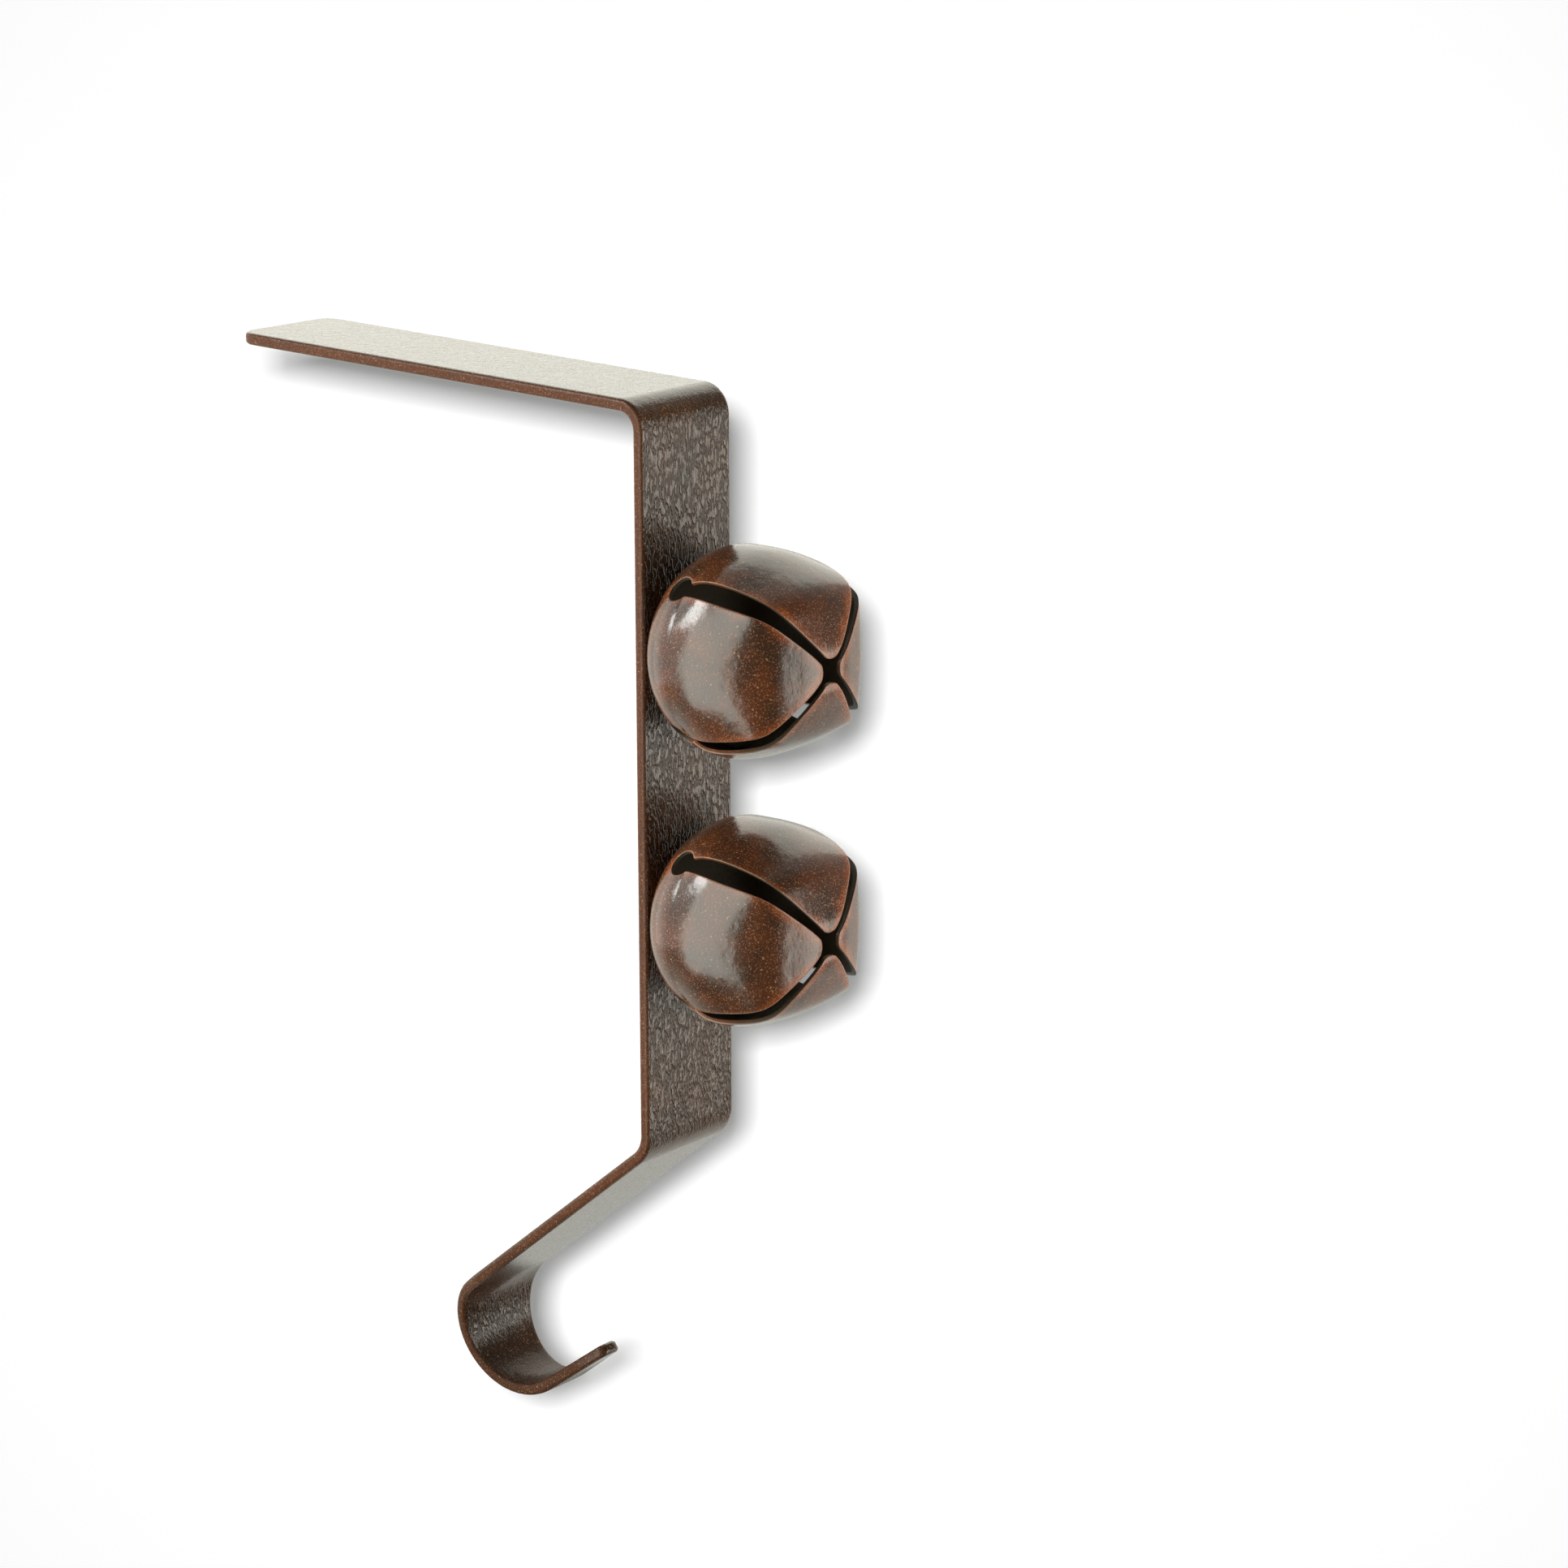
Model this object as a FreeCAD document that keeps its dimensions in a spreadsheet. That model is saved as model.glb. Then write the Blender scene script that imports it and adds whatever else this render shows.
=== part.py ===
import FreeCAD, Part
import math
import os

import Sketcher

# Mantel stocking holder: a flat steel band bent into an arm, an upright, a slope and a hook, with two jingle
# bells riveted to the front of the upright. Sizes are in millimetres and angles in degrees.
# X runs across the band, +Y points back to the wall and +Z up. The origin lies in the middle of the arm's flat
# underside, which is the face that rests on the mantel.

SIZES = {
    # band
    "band_width": 25.0,
    "band_thickness": 2.5,
    "edge_radius": 0.8,
    "arm_length": 116.5,
    "arm_corner_radius": 4.0,
    "upright_height": 153.0,
    "top_bend_radius": 3.5,
    "lower_bend_radius": 6.0,
    "slope_angle": 49.6,
    "slope_length": 70.3,
    # hook: the band narrows to a tongue from a little before the hook's bend
    "hook_radius": 11.7,
    "hook_turn": 178.5,
    "taper_lead": 3.5,
    "tongue_length": 18.0,
    "tongue_tip_width": 5.2,
    "tongue_tip_radius": 2.3,
    "taper_blend_radius": 18.0,
    # bell shell
    "bell_radius": 20.6,
    "bell_wall": 0.9,
    "bowl_depth": 13.75,
    "bowl_knuckle_radius": 10.0,
    "bowl_seat_radius": 5.0,
    "petal_side_radius": 30.0,
    "petal_side_turn": 36.5,
    "petal_shoulder_radius": 8.0,
    "petal_shoulder_turn": 23.5,
    "petal_front_radius": 26.0,
    "petal_front_turn": 24.0,
    "petal_flattening": 0.95,
    "petal_gap": 1.2,
    "petal_tip_radius": 3.2,
    # slit between two petals, and the keyhole it starts from
    "slit_tip_width": 1.5,
    "slit_neck_width": 3.0,
    "slit_side_radius": 74.0,
    "slit_end_height": 37.6,
    "keyhole_radius": 2.75,
    "keyhole_height": 11.5,
    "upper_bell_drop": 48.2,
    "bell_pitch": 54.4,
    # loose pellet and rivet
    "pellet_radius": 4.5,
    "pellet_clearance": 0.1,
    "rivet_radius": 2.0,
    "rivet_fit": 0.05,
    "rivet_head_radius": 4.0,
    "rivet_head_height": 1.8,
    "rivet_sink_depth": 1.0,
}

PLACES = ("upper", "lower")
PETALS = 4
HALVES_PER_ARC = 2
# how far out from the axis a slit is cut, as a share of the bell's radius: the petals' corners stand outside it
SLIT_REACH = 1.2
# how close two places must be to count as the same one
NEAR = 0.05
FRONT_TERM = "-(sizes.arm_length + sizes.band_thickness + sizes.top_bend_radius) / 2"
V = FreeCAD.Vector
C = Sketcher.Constraint
ORIGIN, X_AXIS, Y_AXIS = (-1, 1), -1, -2
# the sketcher's numbers for the points of a line or an arc
START, END, CENTRE = range(1, 4)


def make_sheet(doc):
    """The spreadsheet with every driving size, one named cell each"""
    sheet = doc.addObject("Spreadsheet::Sheet", "sizes")
    for row, (name, value) in enumerate(SIZES.items(), start=1):
        sheet.set(f"A{row}", name)
        sheet.set(f"B{row}", str(value))
        sheet.setAlias(f"B{row}", name)
    doc.recompute()
    return sheet


def origin_feature(body, role):
    return next(f for f in body.Origin.OriginFeatures if f.Role == role)


def sketch_on(body, name, role, offset=None):
    """An empty sketch flat on one of the body's own origin planes"""
    sketch = body.newObject("Sketcher::SketchObject", name)
    sketch.AttachmentSupport = (origin_feature(body, role), "")
    sketch.MapMode = "FlatFace"
    if offset is not None:
        sketch.AttachmentOffset = offset
    return sketch


def line(a, b):
    return Part.LineSegment(V(a[0], a[1], 0), V(b[0], b[1], 0))


def arc(centre, radius, start, end):
    circle = Part.Circle(V(centre[0], centre[1], 0), V(0, 0, 1), radius)
    return Part.ArcOfCircle(circle, start, end)


def drive(sketch, bound):
    """Adds the driving dimensions: each is a constraint and the sheet expression that sets it"""
    for constraint, expression in bound:
        index = sketch.addConstraint(constraint)
        sketch.setExpression(f"Constraints[{index}]", expression)


def rectangle(sketch, width, height):
    """A rectangle centred on the sketch's origin, its two sizes given by name"""
    x, y = SIZES[width] / 2, SIZES[height] / 2
    corners = [(-x, -y), (x, -y), (x, y), (-x, y)]
    sketch.addGeometry([line(corners[i], corners[(i + 1) % 4]) for i in range(4)], False)
    sketch.addConstraint([C("Coincident", i, END, (i + 1) % 4, START) for i in range(4)])
    sketch.addConstraint([C("Horizontal", 0), C("Vertical", 1), C("Horizontal", 2), C("Vertical", 3)])
    sketch.addConstraint(C("Symmetric", 0, START, 2, START, *ORIGIN))
    drive(sketch, [
        (C("DistanceX", 0, START, 0, END, SIZES[width]), f"sizes.{width}"),
        (C("DistanceY", 1, START, 1, END, SIZES[height]), f"sizes.{height}"),
    ])


class BandLine:
    """The middle line of the band in side view, as (y, z) points and headings from the arm's end to the tip"""

    def __init__(self):
        s = SIZES
        self.half = s["band_thickness"] / 2
        angle = math.radians(s["slope_angle"])
        self.front = -(s["arm_length"] + s["band_thickness"] + s["top_bend_radius"]) / 2
        self.arm_end = self.front + s["arm_length"]
        self.r_top = s["top_bend_radius"] + self.half
        self.r_low = s["lower_bend_radius"] + self.half
        self.r_hook = s["hook_radius"] - self.half + s["band_thickness"]
        y = self.front + self.half
        self.top_centre = (y + self.r_top, self.half - self.r_top)
        front_tangent = (s["lower_bend_radius"] + s["band_thickness"]) * math.tan(angle / 2)
        self.upright_foot = (y, s["band_thickness"] - s["upright_height"] + front_tangent)
        self.low_centre = (y + self.r_low, self.upright_foot[1])
        self.slope_way = (math.sin(angle), -math.cos(angle))
        self.slope_back = (math.cos(angle), math.sin(angle))
        self.slope_start = self.along(self.low_centre, self.slope_back, -self.r_low)
        self.slope_run = s["slope_length"] - front_tangent - s["taper_lead"]
        self.slope_end = self.along(self.slope_start, self.slope_way, self.slope_run)
        self.bend_start = self.along(self.slope_end, self.slope_way, s["taper_lead"])
        self.hook_centre = self.along(self.bend_start, self.slope_back, -self.r_hook)
        turned = angle - math.radians(s["hook_turn"])
        self.tongue_way = (math.sin(turned), -math.cos(turned))
        self.tongue_back = (math.cos(turned), math.sin(turned))
        self.bend_end = self.along(self.hook_centre, self.tongue_back, self.r_hook)
        self.tip = self.along(self.bend_end, self.tongue_way, s["tongue_length"])
        self.angle = angle
        self.turned = turned

    @staticmethod
    def along(point, way, length):
        return (point[0] + way[0] * length, point[1] + way[1] * length)


def band_path(body, way):
    """The band's middle line as one driven sketch: edges 1 to 5 keep the full width, 6 to 8 are the tongue"""
    sketch = sketch_on(body, "side_line", "YZ_Plane")
    y = way.front + way.half
    sketch.addGeometry([
        line((way.arm_end, way.half), (way.top_centre[0], way.half)),
        arc(way.top_centre, way.r_top, math.pi / 2, math.pi),
        line((y, way.top_centre[1]), way.upright_foot),
        arc(way.low_centre, way.r_low, math.pi, math.pi + way.angle),
        line(way.slope_start, way.slope_end),
        line(way.slope_end, way.bend_start),
        arc(way.hook_centre, way.r_hook, way.turned, way.angle),
        line(way.bend_end, way.tip),
    ], False)
    sketch.addConstraint([
        C("Tangent", 0, END, 1, START),
        C("Tangent", 1, END, 2, START),
        C("Tangent", 2, END, 3, START),
        C("Tangent", 3, END, 4, START),
        C("Tangent", 4, END, 5, START),
        C("Tangent", 5, END, 6, END),
        C("Tangent", 6, START, 7, START),
        C("Horizontal", 0),
        C("Vertical", 2),
    ])
    tangent = "(sizes.lower_bend_radius + sizes.band_thickness) * tan(sizes.slope_angle * 1 deg / 2)"
    run = f"(sizes.slope_length - {tangent} - sizes.taper_lead)"
    half = "sizes.band_thickness / 2"
    drive(sketch, [
        (C("DistanceX", *ORIGIN, 0, START, way.arm_end), f"sizes.arm_length + {FRONT_TERM}"),
        (C("DistanceY", *ORIGIN, 0, START, way.half), half),
        (C("DistanceX", 2, END, *ORIGIN, -y), f"-({FRONT_TERM}) - {half}"),
        (C("DistanceY", 2, END, *ORIGIN, -way.upright_foot[1]),
         f"sizes.upright_height - sizes.band_thickness - {tangent}"),
        (C("Radius", 1, way.r_top), f"sizes.top_bend_radius + {half}"),
        (C("Radius", 3, way.r_low), f"sizes.lower_bend_radius + {half}"),
        (C("Radius", 6, way.r_hook), f"sizes.hook_radius + {half}"),
        (C("DistanceX", 4, START, 4, END, way.slope_run * way.slope_way[0]),
         f"{run} * sin(sizes.slope_angle * 1 deg)"),
        (C("DistanceY", 4, END, 4, START, -way.slope_run * way.slope_way[1]),
         f"{run} * cos(sizes.slope_angle * 1 deg)"),
        (C("Distance", 5, SIZES["taper_lead"]), "sizes.taper_lead"),
        (C("Angle", 6, math.radians(SIZES["hook_turn"])), "sizes.hook_turn * 1 deg"),
        (C("Distance", 7, SIZES["tongue_length"]), "sizes.tongue_length"),
    ])
    return sketch


def across_band(point, back):
    """Where a section square to the band's line sits: its x runs along X, its y along the band's back normal"""
    out = V(0, back[0], back[1])
    return FreeCAD.Placement(V(0, point[0], point[1]), FreeCAD.Rotation(V(1, 0, 0), out, V(0, 0, 1), "XYZ"))


def on_xz(place):
    """The same place measured from the XZ plane's own sketch frame"""
    frame = FreeCAD.Placement(V(0, 0, 0), FreeCAD.Rotation(V(1, 0, 0), 90))
    return frame.inverse().multiply(place)


def vertical_edges(shape, keep):
    """Names of the straight edges through the band's thickness whose middle satisfies keep"""
    names = []
    for number, edge in enumerate(shape.Edges, start=1):
        middle = edge.CenterOfMass
        short = abs(edge.Length - SIZES["band_thickness"]) < NEAR
        if short and keep(middle):
            names.append(f"Edge{number}")
    return names


def sharp_edges(shape, least_degrees=20.0):
    """Names of the edges whose two faces meet at a corner, which leaves out the smooth seams"""
    names = []
    for number, edge in enumerate(shape.Edges, start=1):
        faces = shape.ancestorsOfType(edge, Part.Face)
        if len(faces) != 2:
            continue
        middle = edge.valueAt((edge.FirstParameter + edge.LastParameter) / 2)
        normals = [f.normalAt(*f.Surface.parameter(middle)) for f in faces]
        if math.degrees(normals[0].getAngle(normals[1])) > least_degrees:
            names.append(f"Edge{number}")
    return names


def make_strap(doc):
    body = doc.addObject("PartDesign::Body", "strap")
    way = BandLine()
    path = band_path(body, way)
    doc.recompute()

    arm_place = on_xz(across_band((way.arm_end, way.half), (0, 1)))
    arm_section = sketch_on(body, "arm_section", "XZ_Plane", arm_place)
    rectangle(arm_section, "band_width", "band_thickness")
    doc.recompute()
    band = body.newObject("PartDesign::AdditivePipe", "band")
    band.Profile = arm_section
    band.Spine = (path, ["Edge1", "Edge2", "Edge3", "Edge4", "Edge5"])
    doc.recompute()

    root = sketch_on(body, "tongue_root", "XZ_Plane", on_xz(across_band(way.slope_end, way.slope_back)))
    rectangle(root, "band_width", "band_thickness")
    tip = sketch_on(body, "tongue_end", "XZ_Plane", on_xz(across_band(way.tip, way.tongue_back)))
    rectangle(tip, "tongue_tip_width", "band_thickness")
    doc.recompute()
    tongue = body.newObject("PartDesign::AdditivePipe", "tongue")
    tongue.Profile = root
    tongue.Spine = (path, ["Edge6", "Edge7", "Edge8"])
    tongue.Sections = [tip]
    tongue.Transformation = "Multisection"
    doc.recompute()

    # the blank's plan: rounded corners at both ends, and no kink where the taper starts
    round_off(body, "arm_corners", tongue, vertical_edges(tongue.Shape, lambda p: p.y > way.arm_end - NEAR),
              "sizes.arm_corner_radius")
    for name, place, radius in [
        ("taper_blend", way.slope_end, "sizes.taper_blend_radius"),
        ("tongue_corners", way.tip, "sizes.tongue_tip_radius"),
    ]:
        feature = body.Tip
        names = vertical_edges(feature.Shape, lambda p: math.dist((p.y, p.z), place) < NEAR)
        round_off(body, name, feature, names, radius)
    feature = body.Tip
    round_off(body, "rolled_edges", feature, sharp_edges(feature.Shape), "sizes.edge_radius")

    # one hole for each bell's rivet, sunk at the back
    on_front = FreeCAD.Placement(V(0, 0, -way.front), FreeCAD.Rotation())
    holes = sketch_on(body, "rivet_holes", "XZ_Plane", on_front)
    holes.setExpression("AttachmentOffset.Base.z", f"-({FRONT_TERM})")
    radius = SIZES["rivet_radius"] + SIZES["rivet_fit"]
    heights = bell_heights()
    holes.addGeometry([Part.Circle(V(0, z, 0), V(0, 0, 1), radius) for z in heights], False)
    for index, (name, z) in enumerate(zip(PLACES, heights)):
        holes.addConstraint(C("PointOnObject", index, CENTRE, Y_AXIS))
        drive(holes, [
            (C("Radius", index, radius), "sizes.rivet_radius + sizes.rivet_fit"),
            (C("DistanceY", index, CENTRE, *ORIGIN, -z), f"-({height_term(name)})"),
        ])
    doc.recompute()
    pocket = body.newObject("PartDesign::Pocket", "rivet_pocket")
    pocket.Profile = holes
    pocket.Length = SIZES["band_thickness"] * 2
    pocket.setExpression("Length", "sizes.band_thickness * 2")
    doc.recompute()
    rims = []
    for number, edge in enumerate(pocket.Shape.Edges, start=1):
        round_rim = edge.Curve.TypeId == "Part::GeomCircle" and abs(edge.Curve.Radius - radius) < NEAR
        at_back = abs(edge.CenterOfMass.y - way.front - SIZES["band_thickness"]) < NEAR
        if round_rim and at_back:
            rims.append(f"Edge{number}")
    sink = body.newObject("PartDesign::Chamfer", "rivet_sink")
    sink.Base = (pocket, rims)
    sink.Size = SIZES["rivet_sink_depth"]
    sink.setExpression("Size", "sizes.rivet_sink_depth")
    doc.recompute()
    return body


def bell_heights():
    upper = SIZES["band_thickness"] - SIZES["upper_bell_drop"]
    return upper, upper - SIZES["bell_pitch"]


def height_term(name):
    """The sheet's term for the height of a bell's axis"""
    term = "sizes.band_thickness - sizes.upper_bell_drop"
    return f"{term} - sizes.bell_pitch" if name.startswith(PLACES[1]) else term


def round_off(body, name, base, edges, radius_from):
    fillet = body.newObject("PartDesign::Fillet", name)
    fillet.Base = (base, edges)
    fillet.Radius = SIZES[radius_from.split(".")[1]]
    fillet.setExpression("Radius", radius_from)
    body.Document.recompute()
    return fillet


def seat_on_upright(body, height):
    """Puts a bell or rivet on the upright's front face, with its axis pointing away from the wall"""
    body.Placement = FreeCAD.Placement(V(0, BandLine().front, height), FreeCAD.Rotation(V(1, 0, 0), 90))
    body.setExpression("Placement.Base.y", FRONT_TERM)
    body.setExpression("Placement.Base.z", height_term(body.Name))


def bowl_profile(body):
    """Half section of the bowl: a flat seat, a wide crown and a knuckle that ends at the widest section"""
    s = SIZES
    radius, wall, depth = s["bell_radius"], s["bell_wall"], s["bowl_depth"]
    knuckle, seat = s["bowl_knuckle_radius"], s["bowl_seat_radius"]
    hole = s["rivet_radius"] + s["rivet_fit"]
    reach = radius - knuckle - seat
    crown = (reach ** 2 + depth ** 2 - knuckle ** 2) / (2 * (depth - knuckle))
    low = -math.pi / 2
    join = low + math.atan2(reach, crown - depth)
    sketch = sketch_on(body, "bowl_profile", "XZ_Plane")
    sketch.addGeometry([
        line((hole, 0), (seat, 0)),
        arc((seat, crown), crown, low, join),
        arc((radius - knuckle, depth), knuckle, join, 0),
        line((radius, depth), (radius - wall, depth)),
        arc((radius - knuckle, depth), knuckle - wall, join, 0),
        arc((seat, crown), crown - wall, low, join),
        line((seat, wall), (hole, wall)),
        line((hole, wall), (hole, 0)),
    ], False)
    sketch.addConstraint([
        C("Tangent", 0, END, 1, START),
        C("Tangent", 1, END, 2, START),
        C("Coincident", 2, END, 3, START),
        C("Coincident", 3, END, 4, END),
        C("Tangent", 4, START, 5, END),
        C("Tangent", 5, START, 6, START),
        C("Coincident", 6, END, 7, START),
        C("Coincident", 7, END, 0, START),
        C("Coincident", 2, CENTRE, 4, CENTRE),
        C("Coincident", 1, CENTRE, 5, CENTRE),
        C("Horizontal", 0),
        C("Horizontal", 3),
        C("Horizontal", 6),
        C("Vertical", 7),
        C("Horizontal", 2, CENTRE, 2, END),
        C("PointOnObject", 0, START, X_AXIS),
    ])
    drive(sketch, [
        (C("DistanceX", *ORIGIN, 0, START, hole), "sizes.rivet_radius + sizes.rivet_fit"),
        (C("DistanceX", *ORIGIN, 0, END, seat), "sizes.bowl_seat_radius"),
        (C("DistanceX", 3, END, 3, START, wall), "sizes.bell_wall"),
        (C("Radius", 2, knuckle), "sizes.bowl_knuckle_radius"),
        (C("DistanceX", *ORIGIN, 3, START, radius), "sizes.bell_radius"),
        (C("DistanceY", *ORIGIN, 3, START, depth), "sizes.bowl_depth"),
    ])
    return sketch


def petal_arcs():
    """The three arcs of a petal's middle line, from the widest section to the tip: names of radius and turn"""
    return [
        ("petal_side_radius", "petal_side_turn"),
        ("petal_shoulder_radius", "petal_shoulder_turn"),
        ("petal_front_radius", "petal_front_turn"),
    ]


def petal_stations():
    """Where each petal section sits: its turn in degrees, how far in and how far forward, as sheet terms too"""
    inward, forward, turn = "sizes.bell_radius", "sizes.bowl_depth", "0"
    rho, z, angle = SIZES["bell_radius"], SIZES["bowl_depth"], 0.0
    stations = [(angle, rho, z, turn, inward, forward)]
    for radius_name, turn_name in petal_arcs():
        radius = SIZES[radius_name]
        before, before_term = angle, turn
        start_rho, start_z, start_in, start_forward = rho, z, inward, forward
        for half in range(1, HALVES_PER_ARC + 1):
            share = half / HALVES_PER_ARC
            angle = before + SIZES[turn_name] * share
            turn = f"{before_term} + sizes.{turn_name} * {share}"
            first, last = math.radians(before), math.radians(angle)
            rho = start_rho - radius * (math.cos(first) - math.cos(last))
            z = start_z + radius * (math.sin(last) - math.sin(first))
            first_term, last_term = f"({before_term}) * 1 deg", f"({turn}) * 1 deg"
            inward = f"{start_in} - sizes.{radius_name} * (cos({first_term}) - cos({last_term}))"
            forward = f"{start_forward} + sizes.{radius_name} * (sin({last_term}) - sin({first_term}))"
            stations.append((angle, rho, z, turn, inward, forward))
    return stations


def petal_section(body, index, station, furthest):
    """One section of a petal: a strip of sheet, round at the widest section and nearly flat at the tip"""
    angle, rho, z, turn, inward, forward = station
    wall = SIZES["bell_wall"]
    share = (z - SIZES["bowl_depth"]) / (furthest[0] - SIZES["bowl_depth"])
    share_term = f"(({forward} - sizes.bowl_depth) / ({furthest[1]} - sizes.bowl_depth))"
    radius = SIZES["bell_radius"] / (1 - SIZES["petal_flattening"] * share)
    radius_term = f"sizes.bell_radius / (1 - sizes.petal_flattening * {share_term})"
    corner = math.cos(math.pi / PETALS)
    half = rho * (corner + (1 - corner) * share) - SIZES["petal_gap"]
    half_term = f"({inward}) * ({corner} + {1 - corner} * {share_term}) - sizes.petal_gap"
    place = FreeCAD.Placement(V(0, z, rho), FreeCAD.Rotation(V(1, 0, 0), 90 - angle))
    sketch = sketch_on(body, f"petal_section_{index}", "YZ_Plane", place)
    sketch.setExpression("AttachmentOffset.Base.y", forward)
    sketch.setExpression("AttachmentOffset.Base.z", inward)
    sketch.setExpression("AttachmentOffset.Rotation.Angle", f"(90 - ({turn})) * 1 deg")
    outer, inner = math.asin(half / radius), math.asin(half / (radius - wall))
    up = math.pi / 2
    outer_y = -radius + radius * math.cos(outer)
    inner_y = -radius + (radius - wall) * math.cos(inner)
    sketch.addGeometry([
        arc((0, -radius), radius, up - outer, up + outer),
        line((-half, outer_y), (-half, inner_y)),
        arc((0, -radius), radius - wall, up - inner, up + inner),
        line((half, inner_y), (half, outer_y)),
    ], False)
    sketch.addConstraint([
        C("Coincident", 0, END, 1, START),
        C("Coincident", 1, END, 2, END),
        C("Coincident", 2, START, 3, START),
        C("Coincident", 3, END, 0, START),
        C("Vertical", 1),
        C("Vertical", 3),
        C("Coincident", 0, CENTRE, 2, CENTRE),
        C("PointOnObject", 0, CENTRE, Y_AXIS),
        C("Horizontal", 0, START, 0, END),
    ])
    drive(sketch, [
        (C("Radius", 0, radius), radius_term),
        (C("Radius", 2, radius - wall), f"{radius_term} - sizes.bell_wall"),
        (C("DistanceX", *ORIGIN, 0, START, half), half_term),
        (C("DistanceY", 0, CENTRE, *ORIGIN, radius), radius_term),
    ])
    return sketch


def slit_outline(body):
    """The slit between two petals, seen along a diagonal: a keyhole, a neck, bellied sides and a narrow end"""
    s = SIZES
    neck, tip = s["slit_neck_width"] / 2, s["slit_tip_width"] / 2
    hole, low, high = s["keyhole_radius"], s["keyhole_height"], s["slit_end_height"]
    neck_height = low + math.sqrt(hole ** 2 - neck ** 2)
    opening = math.asin(neck / hole)
    up = math.pi / 2
    # the side's arc bellies outwards between the neck and the end
    middle = ((neck + tip) / 2, (neck_height + high) / 2)
    chord = math.hypot(neck - tip, high - neck_height)
    back = math.sqrt(s["slit_side_radius"] ** 2 - (chord / 2) ** 2)
    away = ((high - neck_height) / chord, (neck - tip) / chord)
    centre = (middle[0] - away[0] * back, middle[1] - away[1] * back)
    first = math.atan2(neck_height - centre[1], neck - centre[0])
    last = math.atan2(high - centre[1], tip - centre[0])
    turned = FreeCAD.Placement(V(0, 0, 0), FreeCAD.Rotation(V(0, 1, 0), math.degrees(math.pi / PETALS)))
    sketch = sketch_on(body, "slit_outline", "XZ_Plane", turned)
    sketch.addGeometry([
        arc((0, low), hole, up + opening, up - opening + 2 * math.pi),
        arc(centre, s["slit_side_radius"], first, last),
        line((tip, high), (-tip, high)),
        arc((-centre[0], centre[1]), s["slit_side_radius"], math.pi - last, math.pi - first),
    ], False)
    sketch.addConstraint([
        C("Coincident", 0, END, 1, START),
        C("Coincident", 1, END, 2, START),
        C("Coincident", 2, END, 3, START),
        C("Coincident", 3, END, 0, START),
        C("PointOnObject", 0, CENTRE, Y_AXIS),
        C("Symmetric", 0, START, 0, END, Y_AXIS),
        C("Symmetric", 2, START, 2, END, Y_AXIS),
        C("Equal", 1, 3),
    ])
    drive(sketch, [
        (C("Radius", 0, hole), "sizes.keyhole_radius"),
        (C("DistanceY", *ORIGIN, 0, CENTRE, low), "sizes.keyhole_height"),
        (C("DistanceX", 0, START, 0, END, 2 * neck), "sizes.slit_neck_width"),
        (C("Radius", 1, s["slit_side_radius"]), "sizes.slit_side_radius"),
        (C("DistanceX", 2, END, 2, START, 2 * tip), "sizes.slit_tip_width"),
        (C("DistanceY", *ORIGIN, 2, START, high), "sizes.slit_end_height"),
    ])
    return sketch


def star_outline(body):
    """The four-pointed star in front, where the slits cross and the petals' tips are rounded"""
    tip = SIZES["petal_tip_radius"]
    corner = math.cos(math.pi / PETALS)
    centre = (SIZES["slit_tip_width"] / 2 + tip) / corner
    centre_term = f"(sizes.slit_tip_width / 2 + sizes.petal_tip_radius) * {1 / corner}"
    level = FreeCAD.Placement(V(0, 0, SIZES["bowl_depth"]), FreeCAD.Rotation())
    sketch = sketch_on(body, "star_outline", "XY_Plane", level)
    sketch.setExpression("AttachmentOffset.Base.z", "sizes.bowl_depth")
    arcs, ends = [], []
    for petal in range(PETALS):
        turn = 2 * math.pi / PETALS * petal
        middle = (centre * math.cos(turn), centre * math.sin(turn))
        first, last = turn + math.pi - math.pi / PETALS, turn + math.pi + math.pi / PETALS
        arcs.append(arc(middle, tip, first, last))
        ends.append([(middle[0] + tip * math.cos(a), middle[1] + tip * math.sin(a)) for a in (first, last)])
    links = [line(ends[petal][0], ends[(petal + 1) % PETALS][1]) for petal in range(PETALS)]
    sketch.addGeometry(arcs + links, False)
    for petal in range(PETALS):
        link = PETALS + petal
        sketch.addConstraint([
            C("Coincident", petal, START, link, START),
            C("Coincident", (petal + 1) % PETALS, END, link, END),
            C("PointOnObject", petal, CENTRE, Y_AXIS if petal % 2 else X_AXIS),
        ])
        along, across = ("DistanceY", "DistanceX") if petal % 2 else ("DistanceX", "DistanceY")
        outward = [ORIGIN, (petal, CENTRE)] if petal < 2 else [(petal, CENTRE), ORIGIN]
        # the arc starts on the side it reaches first, counted anticlockwise
        rising = petal in (0, 3)
        chord = [(petal, END), (petal, START)] if rising else [(petal, START), (petal, END)]
        drive(sketch, [
            (C(along, *outward[0], *outward[1], centre), centre_term),
            (C("Radius", petal, tip), "sizes.petal_tip_radius"),
            (C(across, *chord[0], *chord[1], 2 * tip * corner), f"sizes.petal_tip_radius * {2 * corner}"),
        ])
        sketch.addConstraint(C("Horizontal" if petal % 2 else "Vertical", petal, START, petal, END))
    return sketch


def around(body, name, feature):
    """The same feature four times round the bell's axis"""
    pattern = body.newObject("PartDesign::PolarPattern", name)
    pattern.Originals = [feature]
    pattern.Axis = (origin_feature(body, "Z_Axis"), [""])
    pattern.Angle = 360
    pattern.Occurrences = PETALS
    body.Tip = pattern
    body.Document.recompute()
    return pattern


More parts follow.
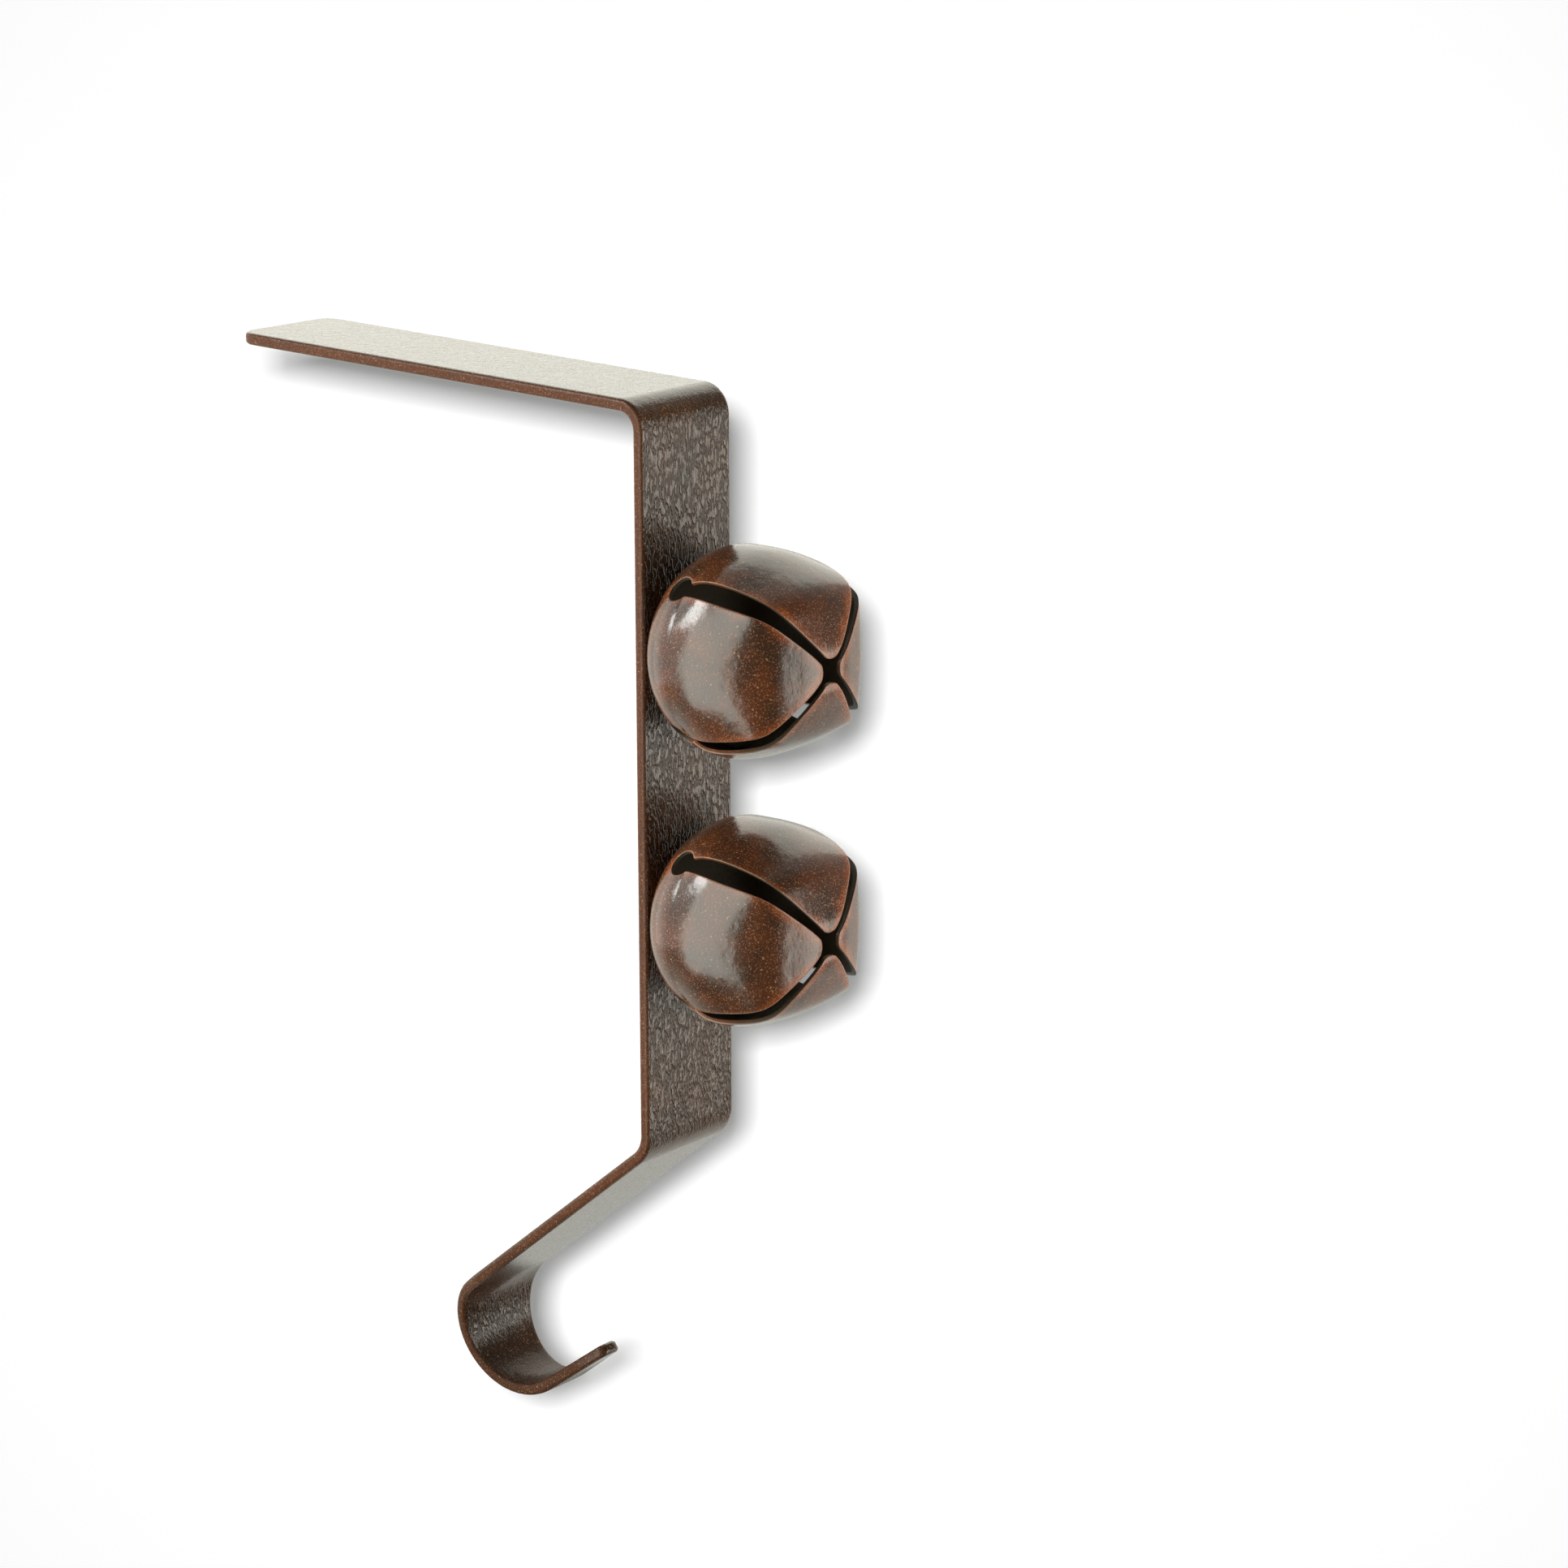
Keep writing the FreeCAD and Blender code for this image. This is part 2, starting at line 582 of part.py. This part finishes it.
def make_bell(doc, name, height):
    body = doc.addObject("PartDesign::Body", name)
    profile = bowl_profile(body)
    doc.recompute()
    bowl = body.newObject("PartDesign::Revolution", "bowl")
    bowl.Profile = profile
    bowl.ReferenceAxis = (profile, ["V_Axis"])
    bowl.Angle = 360
    doc.recompute()

    stations = petal_stations()
    furthest = (stations[-1][2], stations[-1][5])
    sections = [petal_section(body, i, station, furthest) for i, station in enumerate(stations)]
    doc.recompute()
    petal = body.newObject("PartDesign::AdditiveLoft", "petal")
    petal.Profile = sections[0]
    petal.Sections = sections[1:]
    petal.Ruled = False
    doc.recompute()
    around(body, "petals", petal)

    slit = body.newObject("PartDesign::Pocket", "slit")
    slit.Profile = slit_outline(body)
    slit.Length = SIZES["bell_radius"] * SLIT_REACH
    slit.setExpression("Length", f"sizes.bell_radius * {SLIT_REACH}")
    doc.recompute()
    around(body, "slits", slit)

    star = body.newObject("PartDesign::Pocket", "star")
    star.Profile = star_outline(body)
    star.Reversed = True
    star.Length = SIZES["slit_end_height"]
    star.setExpression("Length", "sizes.slit_end_height")
    doc.recompute()
    seat_on_upright(body, height)
    return body


def make_rivet(doc, name, height):
    """A domed head inside the bowl, a shank through the upright and a tail sunk flush at the back"""
    s = SIZES
    body = doc.addObject("PartDesign::Body", name)
    shank, head = s["rivet_radius"], s["rivet_head_radius"]
    wall, top = s["bell_wall"], s["bell_wall"] + s["rivet_head_height"]
    back, sink = s["band_thickness"], s["rivet_sink_depth"]
    dome = (head ** 2 + s["rivet_head_height"] ** 2) / (2 * s["rivet_head_height"])
    rim = math.asin(head / dome)
    sketch = sketch_on(body, "rivet_profile", "XZ_Plane")
    sketch.addGeometry([
        line((0, -back), (shank + sink, -back)),
        line((shank + sink, -back), (shank, -back + sink)),
        line((shank, -back + sink), (shank, wall)),
        line((shank, wall), (head, wall)),
        arc((0, top - dome), dome, math.pi / 2 - rim, math.pi / 2),
        line((0, top), (0, -back)),
    ], False)
    sketch.addConstraint([
        C("Coincident", 0, END, 1, START),
        C("Coincident", 1, END, 2, START),
        C("Coincident", 2, END, 3, START),
        C("Coincident", 3, END, 4, START),
        C("Coincident", 4, END, 5, START),
        C("Coincident", 5, END, 0, START),
        C("Horizontal", 0),
        C("Vertical", 2),
        C("Horizontal", 3),
        C("Vertical", 5),
        C("PointOnObject", 0, START, Y_AXIS),
        C("PointOnObject", 4, CENTRE, Y_AXIS),
    ])
    drive(sketch, [
        (C("DistanceY", 0, START, *ORIGIN, back), "sizes.band_thickness"),
        (C("DistanceX", *ORIGIN, 0, END, shank + sink), "sizes.rivet_radius + sizes.rivet_sink_depth"),
        (C("DistanceY", 1, START, 1, END, sink), "sizes.rivet_sink_depth"),
        (C("DistanceX", *ORIGIN, 2, END, shank), "sizes.rivet_radius"),
        (C("DistanceY", *ORIGIN, 3, START, wall), "sizes.bell_wall"),
        (C("DistanceX", *ORIGIN, 3, END, head), "sizes.rivet_head_radius"),
        (C("DistanceY", *ORIGIN, 4, END, top), "sizes.bell_wall + sizes.rivet_head_height"),
    ])
    doc.recompute()
    turned = body.newObject("PartDesign::Revolution", "turned")
    turned.Profile = sketch
    turned.ReferenceAxis = (sketch, ["V_Axis"])
    turned.Angle = 360
    doc.recompute()
    seat_on_upright(body, height)
    return body


def make_pellet(doc, name, height):
    """The loose ball, at rest at the lowest place inside the bell"""
    pellet = doc.addObject("Part::Sphere", name)
    pellet.Radius = SIZES["pellet_radius"]
    pellet.setExpression("Radius", "sizes.pellet_radius")
    drop = SIZES["bell_radius"] - SIZES["bell_wall"] - SIZES["pellet_radius"] - SIZES["pellet_clearance"]
    pellet.Placement = FreeCAD.Placement(V(0, BandLine().front - SIZES["bowl_depth"], height - drop),
                                         FreeCAD.Rotation())
    drop_term = "(sizes.bell_radius - sizes.bell_wall - sizes.pellet_radius - sizes.pellet_clearance)"
    pellet.setExpression("Placement.Base.y", f"{FRONT_TERM} - sizes.bowl_depth")
    pellet.setExpression("Placement.Base.z", f"{height_term(name)} - {drop_term}")
    doc.recompute()
    return pellet


def export(doc, parts):
    """Checks every object and writes one file for each piece"""
    doc.recompute()
    for item in doc.Objects:
        if "Invalid" in item.State or "Error" in item.State:
            raise RuntimeError(f"{item.Name} did not build: {item.State}")
    os.makedirs("parts", exist_ok=True)
    for part in parts:
        if part.Shape.isNull() or not part.Shape.isValid() or len(part.Shape.Solids) != 1:
            raise RuntimeError(f"{part.Name} is not one sound solid")
        print(part.Name, round(part.Shape.Volume, 1), "mm3")
        part.Shape.exportStep(f"parts/{part.Name}.step")


def main():
    doc = FreeCAD.newDocument("mantel_stocking_holder")
    make_sheet(doc)
    parts = [make_strap(doc)]
    for place, height in zip(PLACES, bell_heights()):
        parts.append(make_bell(doc, f"{place}_bell", height))
        parts.append(make_rivet(doc, f"{place}_rivet", height))
        parts.append(make_pellet(doc, f"{place}_pellet", height))
    export(doc, parts)


main()
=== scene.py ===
import math
from collections import namedtuple

import bpy
from mathutils import Matrix, Vector

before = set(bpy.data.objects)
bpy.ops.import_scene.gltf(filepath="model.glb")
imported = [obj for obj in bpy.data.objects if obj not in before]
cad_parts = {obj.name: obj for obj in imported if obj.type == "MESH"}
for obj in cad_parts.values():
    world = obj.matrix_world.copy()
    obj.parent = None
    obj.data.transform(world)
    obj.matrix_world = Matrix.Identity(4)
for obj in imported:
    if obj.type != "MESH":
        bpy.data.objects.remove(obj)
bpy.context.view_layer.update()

# lengths are in metres, and colours are linear red, green and blue

# the camera's place, its own right and back directions, its lens and sensor in millimetres, and its reach
EYE = Vector((-0.52385, -0.55640, 0.13944))
RIGHT = Vector((0.66785, -0.74425, 0.0004))
BACK = Vector((-0.71333, -0.64004, 0.28568))
LENS, SENSOR = 87.7, 36.0
NEAREST, FARTHEST = 0.01, 20.0

# the backdrop's distance from the camera, its half width as a share of that, and its own soft glow
SHEET_DISTANCE, SHEET_REACH = 3.8, 0.35
SHEET_COLOUR, SHEET_GLOW = (0.8, 0.8, 0.8, 1), 0.22

# the small lamp that throws the part's shadow on the backdrop: its side, power and place beside the camera
SHADOW_SIDE, SHADOW_POWER = 0.008, 140.0
SHADOW_BACK, SHADOW_UP, SHADOW_LEFT = 0.02, 0.004, 0.004

# the light that comes from all round: bright from beyond the part, dim from the camera's side
FILL_COLOUR = (0.97, 1.0, 0.92, 1)
TABLE_GLOW, ROOM_GLOW = 0.80, 0.045
ROOM_ENDS, TABLE_BEGINS = -0.02, 0.60

# what the lamps point at, and each lamp's direction from there, distance, width, height, brightness and colour
MIDDLE = Vector((0.0, -0.06, -0.10))
LAMPS = {
    "right_front": ((0.72, -0.68, -0.20), 0.9, 0.34, 0.36, 1.6, (1.0, 0.98, 0.86)),
    "front": ((0.34, -0.94, -0.02), 0.9, 0.62, 0.95, 2.9, (0.97, 1.0, 0.92)),
    "back_top": ((0.62, 0.55, 0.50), 1.0, 1.1, 0.9, 1.15, (1.0, 0.98, 0.86)),
    "left": ((-0.95, 0.19, -0.05), 0.9, 0.70, 1.10, 3.1, (0.94, 1.0, 0.92)),
    "behind": ((-0.45, 0.88, 0.10), 0.9, 0.95, 1.0, 0.75, (0.97, 1.0, 1.0)),
    "left_high": ((-0.66, 0.56, 0.44), 0.9, 0.36, 0.22, 9.5, (0.95, 1.0, 0.98)),
}

BELL_MIDDLES = {"upper": (0.0, -0.0750, -0.0457), "lower": (0.0, -0.0750, -0.1001)}

# noises in the coats: scale, detail and roughness
CLOUDS = (110.0, 3.0, 0.6)
GRAIN = (3000.0, 2.0, 0.6)
DARK_SPECKS = (3400.0, 1.0, 0.5)
FLECKS = (2300.0, 1.0, 0.4)
WAVES = (1150.0, 1.5, 0.5)
ORANGE_PEEL = (420.0, 2.0, 0.5)
RUST_EDGE = (160.0, 3.0, 0.6)
STEEL_MARKS = (1800.0, 4.0, 0.6)

# where a mask begins and where it is full
CLOUD_STEP = (0.36, 0.66)
SPECK_STEP = (0.56, 0.63)
DARK_SPECK_STEP = (0.58, 0.68)
FLECK_STEP = (0.70, 0.74)
CREASE_STEP = (0.0, 0.13)
SIDE_STEP = (0.3, 0.9)
UPRIGHT_STEP = (0.90, 0.995)
HOOK_HEIGHTS = (-0.195, -0.150)
HOOK_BOTTOM_HEIGHTS = (-0.214, -0.206)
SLIT_DISTANCES = (0.0035, 0.0080)
BOWL_DEPTHS = (0.004, 0.008)
SHELL_SIDES = (-0.004, 0.0)

# the creases run along the band and lean a little
CREASE_STRETCH, CREASE_TURN = (1, 1, 0.36), (0, -0.18, 0)

# how far one mask or noise sways another
RAGGED_RUST, RAGGED_EDGE_HIGHLIGHT = 0.006, 0.04
RUST_IN_GRAIN, RUST_IN_SPECKS = 0.05, 0.4

# shares of the strap's painted shade on the hook, of the sides' painted light that the hook takes away and of the
# painted shade in its creases, and of its dull finish
HOOK_SHADE_SHARE, HOOK_OVER_SIDES, CREASE_SHADE_SHARE = 0.8, 0.5, 0.65
DULL_CREASES, DULL_SIDES, DULL_HOOK_BOTTOM = 0.55, 0.75, 0.7

# what the patterns add to the roughness
GRAIN_MATT, SPECK_MATT, INSIDE_MATT = 0.25, 0.08, 0.4

# the share of each pattern in the relief, and how much relief is left away from the upright
WRINKLE_RELIEF, WAVE_RELIEF, FLAT_RELIEF = 0.6, 1.2, 0.12

# the coat's sheen, and the roughness and sheen of its dull finish
SHEEN = 0.95
DULL_ROUGHNESS, DULL_SHEEN = 0.6, 0.2

DARK_SPECK_COLOUR = (0.020, 0.009, 0.005, 1)
SPECK_COLOUR = (0.55, 0.21, 0.09, 1)
FLECK_COLOUR = (0.70, 0.42, 0.24, 1)
# painted shade on the hook
HOOK_SHADE_COLOUR = (0.032, 0.014, 0.007, 1)
# painted light on the strap's sideways faces
SIDE_LIGHT_COLOUR = (0.125, 0.036, 0.010, 1)
# painted shade in the creases of the upright's wrinkles
CREASE_SHADE_COLOUR = (0.034, 0.014, 0.006, 1)
BELL_INSIDE_COLOUR = (0.095, 0.062, 0.032, 1)

STEEL_COLOURS = (0.26, 0.25, 0.24, 1), (0.42, 0.41, 0.40, 1)
STEEL_ROUGHNESS, STEEL_MARK_MATT = 0.55, 0.2
STEEL_MARK_DEPTH, STEEL_MARK_STRENGTH = 0.00005, 0.4

BEVEL_SAMPLES = 6

# A coat: the depth of its wrinkles and of its peel, the radius that its edges look rounded to, its roughness, how
# much its clouds rust, its plain and its rusted ground, the shares of its dark specks, specks, flecks and painted
# edge highlight, the colour of that painted highlight, and where it begins and is full.
Coat = namedtuple("Coat", "wrinkle peel rim roughness rust ground rusted dark_specks specks flecks worn worn_colour "
                          "worn_step")
STRAP = Coat(wrinkle=0.00021, peel=0.00008, rim=0.0006, roughness=0.17, rust=0.3,
             ground=(0.066, 0.028, 0.011, 1), rusted=(0.160, 0.054, 0.014, 1),
             dark_specks=0.5, specks=0.18, flecks=0.45,
             worn=0.6, worn_colour=(0.46, 0.19, 0.08, 1), worn_step=(0.12, 0.30))
BELL = Coat(wrinkle=0.00003, peel=0.00006, rim=0.00045, roughness=0.19, rust=0.24,
            ground=(0.066, 0.028, 0.014, 1), rusted=(0.400, 0.088, 0.016, 1),
            dark_specks=0.25, specks=0.3, flecks=0.7,
            worn=0.65, worn_colour=(0.66, 0.36, 0.22, 1), worn_step=(0.05, 0.20))


class Wire:
    """One output of a node, which adds Math nodes when it is used in an expression"""

    def __init__(self, nodes, socket):
        self.nodes, self.socket = nodes, socket

    def maths(self, kind, *inputs):
        return self.nodes.node("ShaderNodeMath", {"operation": kind}, dict(enumerate(inputs)))

    def __add__(self, other): return self.maths("ADD", self, other)
    def __radd__(self, other): return self.maths("ADD", other, self)
    def __sub__(self, other): return self.maths("SUBTRACT", self, other)
    def __rsub__(self, other): return self.maths("SUBTRACT", other, self)
    def __mul__(self, other): return self.maths("MULTIPLY", self, other)
    def __rmul__(self, other): return self.maths("MULTIPLY", other, self)
    def __abs__(self): return self.maths("ABSOLUTE", self)


class Nodes:
    """The nodes of a material or of the world, which start empty"""

    def __init__(self, owner):
        self.owner = owner
        owner.use_nodes = True
        self.tree = owner.node_tree
        self.tree.nodes.clear()

    def node(self, kind, settings=None, inputs=None, output=0):
        made = self.tree.nodes.new(kind)
        for name, value in (settings or {}).items():
            setattr(made, name, value)
        for key, value in (inputs or {}).items():
            socket = made.inputs[key]
            if isinstance(value, Wire):
                self.tree.links.new(value.socket, socket)
            else:
                socket.default_value = value
        return Wire(self, made.outputs[output])

    def step(self, value, low, high):
        """0 below low and 1 above high, smooth between"""
        return self.node("ShaderNodeMapRange", {"interpolation_type": "SMOOTHSTEP"},
                         {"Value": value, "From Min": low, "From Max": high})

    def mix(self, share, first, second):
        return self.node("ShaderNodeMix", {"data_type": "RGBA"}, {0: share, 6: first, 7: second}, output=2)

    def mix_shaders(self, share, first, second):
        return self.node("ShaderNodeMixShader", {}, {0: share, 1: first, 2: second})

    def noise(self, place, scale, detail, roughness):
        return self.node("ShaderNodeTexNoise", {}, {"Vector": place, "Scale": scale, "Detail": detail,
                                                    "Roughness": roughness})

    def dot(self, first, second):
        return self.node("ShaderNodeVectorMath", {"operation": "DOT_PRODUCT"}, {0: first, 1: second}, output="Value")

    def axes(self, vector):
        """The x, y and z of a vector"""
        split = self.node("ShaderNodeSeparateXYZ", {}, {0: vector}).socket.node
        return [Wire(self, output) for output in split.outputs]

    def place(self, stretch=(1, 1, 1), turn=(0, 0, 0)):
        where = self.node("ShaderNodeTexCoord", output="Object")
        return self.node("ShaderNodeMapping", {}, {"Vector": where, "Scale": stretch, "Rotation": turn})

    def bump(self, height, distance, normal=None, strength=1.0):
        inputs = {"Strength": strength, "Distance": distance, "Height": height}
        if normal is not None:
            inputs["Normal"] = normal
        return self.node("ShaderNodeBump", {}, inputs)

    def surface(self, colour, roughness, normal, **inputs):
        return self.node("ShaderNodeBsdfPrincipled", {}, {
            "Base Color": colour, "Roughness": roughness, "Normal": normal, **inputs})

    def done(self, shader, kind="ShaderNodeOutputMaterial"):
        out = self.tree.nodes.new(kind)
        self.tree.links.new(shader.socket, out.inputs["Surface"])
        return self.owner


def rust_by_the_slits(f, here, out):
    """1 beside the slits between a bell's petals and on its bowl's front, and 0 elsewhere. out is the way from the
    bell's middle."""
    side, ahead, up = f.axes(out)
    from_slit = abs(abs(side) - abs(up)) + f.noise(here, *RUST_EDGE) * RAGGED_RUST
    return (1.0 - f.step(from_slit, *SLIT_DISTANCES)) * (1.0 - f.step(ahead, *BOWL_DEPTHS))


def speckled_coat(name, coat, bell=None):
    """The brown powder coat: a dark ground, fine copper speckle, a few bright flecks, a painted copper highlight
    along the rounded edges and a skin that is wrinkled or only grained. On a bell, whose middle is given, it is
    rustier beside the slits and dark inside. On the strap it has painted shade on the hook and in the upright's
    creases and a redder painted light on its sideways faces, and it is duller in the creases, on the sides and at
    the hook's bottom."""
    f = Nodes(bpy.data.materials.new(name))
    here = f.place()
    flat = f.node("ShaderNodeNewGeometry", output="Normal")
    rounded = f.node("ShaderNodeBevel", {"samples": BEVEL_SAMPLES}, {"Radius": coat.rim})
    grain = f.noise(here, *GRAIN)
    waves = f.noise(f.place(CREASE_STRETCH, CREASE_TURN), *WAVES)
    wrinkles = f.step(abs(waves - 0.5), *CREASE_STEP)

    across, along, _ = f.axes(flat)
    sides = f.step(abs(across), *SIDE_STEP)
    upright = f.step(abs(along), *UPRIGHT_STEP)
    # painted highlight mask: where the rounded edge bends away from the flat face
    worn = f.step(1.0 - f.dot(rounded, flat) + grain * RAGGED_EDGE_HIGHLIGHT, *coat.worn_step)

    rusty = f.step(f.noise(here, *CLOUDS), *CLOUD_STEP) * coat.rust
    if bell is not None:
        out = f.node("ShaderNodeVectorMath", {"operation": "SUBTRACT"}, {0: here, 1: bell})
        rusty = rusty + rust_by_the_slits(f, here, out)
    specks = f.step(grain + rusty * RUST_IN_GRAIN, *SPECK_STEP)

    colour = f.mix(rusty, coat.ground, coat.rusted)
    if bell is None:
        height = f.axes(here)[2]
        hook = 1.0 - f.step(height, *HOOK_HEIGHTS)
        hook_bottom = 1.0 - f.step(height, *HOOK_BOTTOM_HEIGHTS)
        # painted shade: the hook is coloured darker than the rest of the same coat
        colour = f.mix(hook * HOOK_SHADE_SHARE, colour, HOOK_SHADE_COLOUR)
        # painted light: faces turned sideways get a brighter, redder colour, half as much on the hook
        colour = f.mix(sides * (1.0 - hook * HOOK_OVER_SIDES), colour, SIDE_LIGHT_COLOUR)
    dark_specks = f.step(f.noise(here, *DARK_SPECKS), *DARK_SPECK_STEP)
    flecks = f.step(f.noise(here, *FLECKS), *FLECK_STEP)
    colour = f.mix(dark_specks * coat.dark_specks, colour, DARK_SPECK_COLOUR)
    colour = f.mix(specks * (coat.specks + rusty * RUST_IN_SPECKS), colour, SPECK_COLOUR)
    colour = f.mix(flecks * coat.flecks, colour, FLECK_COLOUR)
    if bell is None:
        # painted shade: the creases of the upright's wrinkles are coloured darker
        valleys = (1.0 - wrinkles) * upright
        colour = f.mix(valleys * CREASE_SHADE_SHARE, colour, CREASE_SHADE_COLOUR)
    # painted highlight: a light copper colour along the rounded edges
    colour = f.mix(worn * coat.worn, colour, coat.worn_colour)

    shine = coat.roughness + (grain - 0.5) * GRAIN_MATT + specks * SPECK_MATT
    if bell is not None:
        outside = f.step(f.dot(out, flat), *SHELL_SIDES)
        colour = f.mix(outside, BELL_INSIDE_COLOUR, colour)
        shine = shine + (1.0 - outside) * INSIDE_MATT

    skin = f.bump(f.noise(here, *ORANGE_PEEL), coat.peel, rounded)
    depth = FLAT_RELIEF + upright * (1.0 - FLAT_RELIEF)
    relief = f.bump((wrinkles * WRINKLE_RELIEF + waves * WAVE_RELIEF) * depth, coat.wrinkle, skin)
    shader = f.surface(colour, shine, relief, **{"Metallic": 0.0, "Specular IOR Level": SHEEN})
    if bell is None:
        dull = f.surface(colour, DULL_ROUGHNESS, relief, **{"Specular IOR Level": DULL_SHEEN})
        dullness = valleys * DULL_CREASES + sides * DULL_SIDES + hook_bottom * DULL_HOOK_BOTTOM
        shader = f.mix_shaders(dullness, shader, dull)
    return f.done(shader)


def plain_steel(name):
    """Bare steel of the loose balls, with fine tumbling marks"""
    f = Nodes(bpy.data.materials.new(name))
    marks = f.noise(f.place(), *STEEL_MARKS)
    roughness = STEEL_ROUGHNESS + marks * STEEL_MARK_MATT
    relief = f.bump(marks, STEEL_MARK_DEPTH, strength=STEEL_MARK_STRENGTH)
    return f.done(f.surface(f.mix(marks, *STEEL_COLOURS), roughness, relief, Metallic=1.0))


def dress(node, material):
    """Gives a carried-over node its finish"""
    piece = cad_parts[node]
    piece.data.materials.clear()
    piece.data.materials.append(material)


def area_lamp(name, way, place, width, height, power):
    """A rectangular lamp that shines against way, the direction from the part to it"""
    light = bpy.data.lights.new(name, "AREA")
    light.shape = "RECTANGLE"
    light.size, light.size_y = width, height
    light.energy = power
    lamp = bpy.data.objects.new(name, light)
    lamp.location = place
    lamp.rotation_mode = "QUATERNION"
    lamp.rotation_quaternion = (-way).to_track_quat("-Z", "Y")
    bpy.context.scene.collection.objects.link(lamp)
    return lamp


def pale_backdrop():
    """A plain pale sheet far behind the part that keeps its soft shadow. Only the camera sees it, from the front,
    and the lamp beside the camera that makes the shadow lights nothing else."""
    f = Nodes(bpy.data.materials.new("pale_sheet"))
    lit = f.node("ShaderNodeBsdfDiffuse", {}, {"Color": SHEET_COLOUR})
    glow = f.node("ShaderNodeEmission", {}, {"Color": (1, 1, 1, 1), "Strength": SHEET_GLOW})
    both = f.node("ShaderNodeAddShader", {}, {0: lit, 1: glow})
    clear = f.node("ShaderNodeBsdfTransparent")
    seen = f.node("ShaderNodeLightPath", output="Is Camera Ray")
    from_behind = f.node("ShaderNodeNewGeometry", output="Backfacing")
    material = f.done(f.mix_shaders(seen * (1.0 - from_behind), clear, both))

    mesh = bpy.data.meshes.new("backdrop")
    up = BACK.cross(RIGHT).normalized()
    middle = EYE - BACK * SHEET_DISTANCE
    reach = SHEET_DISTANCE * SHEET_REACH
    corners = [middle + RIGHT * x * reach + up * y * reach for x, y in ((-1, -1), (1, -1), (1, 1), (-1, 1))]
    mesh.from_pydata([tuple(c) for c in corners], [], [(0, 1, 2, 3)])
    mesh.materials.append(material)
    backdrop = bpy.data.objects.new("backdrop", mesh)
    bpy.context.scene.collection.objects.link(backdrop)

    only_sheet = bpy.data.collections.new("only_sheet")
    only_sheet.objects.link(backdrop)
    place = EYE + BACK * SHADOW_BACK + up * SHADOW_UP - RIGHT * SHADOW_LEFT
    lamp = area_lamp("shadow_maker", BACK.normalized(), place, SHADOW_SIDE, SHADOW_SIDE, SHADOW_POWER)
    lamp.light_linking.receiver_collection = only_sheet


def studio():
    """The lamps, and a world that looks white and lights the part more from beyond it than from the camera's side"""
    world = bpy.data.worlds.new("studio")
    bpy.context.scene.world = world
    f = Nodes(world)
    way = f.node("ShaderNodeTexCoord", output="Generated")
    glow = f.node("ShaderNodeMapRange", {}, {"Value": f.dot(way, -BACK), "From Min": ROOM_ENDS,
                                             "From Max": TABLE_BEGINS, "To Min": ROOM_GLOW, "To Max": TABLE_GLOW})
    fill = f.node("ShaderNodeBackground", {}, {"Color": FILL_COLOUR, "Strength": glow})
    white = f.node("ShaderNodeBackground", {}, {"Color": (1, 1, 1, 1)})
    seen = f.node("ShaderNodeLightPath", output="Is Camera Ray")
    f.done(f.mix_shaders(seen, fill, white), "ShaderNodeOutputWorld")

    for name, (way, distance, width, height, glow, colour) in LAMPS.items():
        way = Vector(way).normalized()
        power = glow * width * height * math.pi
        area_lamp(name, way, MIDDLE + way * distance, width, height, power).data.color = colour


def camera():
    data = bpy.data.cameras.new("camera")
    data.lens, data.sensor_width = LENS, SENSOR
    data.clip_start, data.clip_end = NEAREST, FARTHEST
    eye = bpy.data.objects.new("camera", data)
    back = BACK.normalized()
    up = back.cross(RIGHT).normalized()
    right = up.cross(back)
    turn = Matrix((right, up, back)).transposed()
    eye.matrix_world = Matrix.Translation(EYE) @ turn.to_4x4()
    bpy.context.scene.collection.objects.link(eye)
    bpy.context.scene.camera = eye


camera()
strap_coat = speckled_coat("strap_coat", STRAP)
pellet_steel = plain_steel("pellet_steel")
dress("strap", strap_coat)
for place, middle in BELL_MIDDLES.items():
    dress(f"{place}_bell", speckled_coat(f"{place}_bell_coat", BELL, middle))
    dress(f"{place}_rivet", strap_coat)
    dress(f"{place}_pellet", pellet_steel)
pale_backdrop()
studio()

scene = bpy.context.scene
scene.view_settings.view_transform = "Standard"
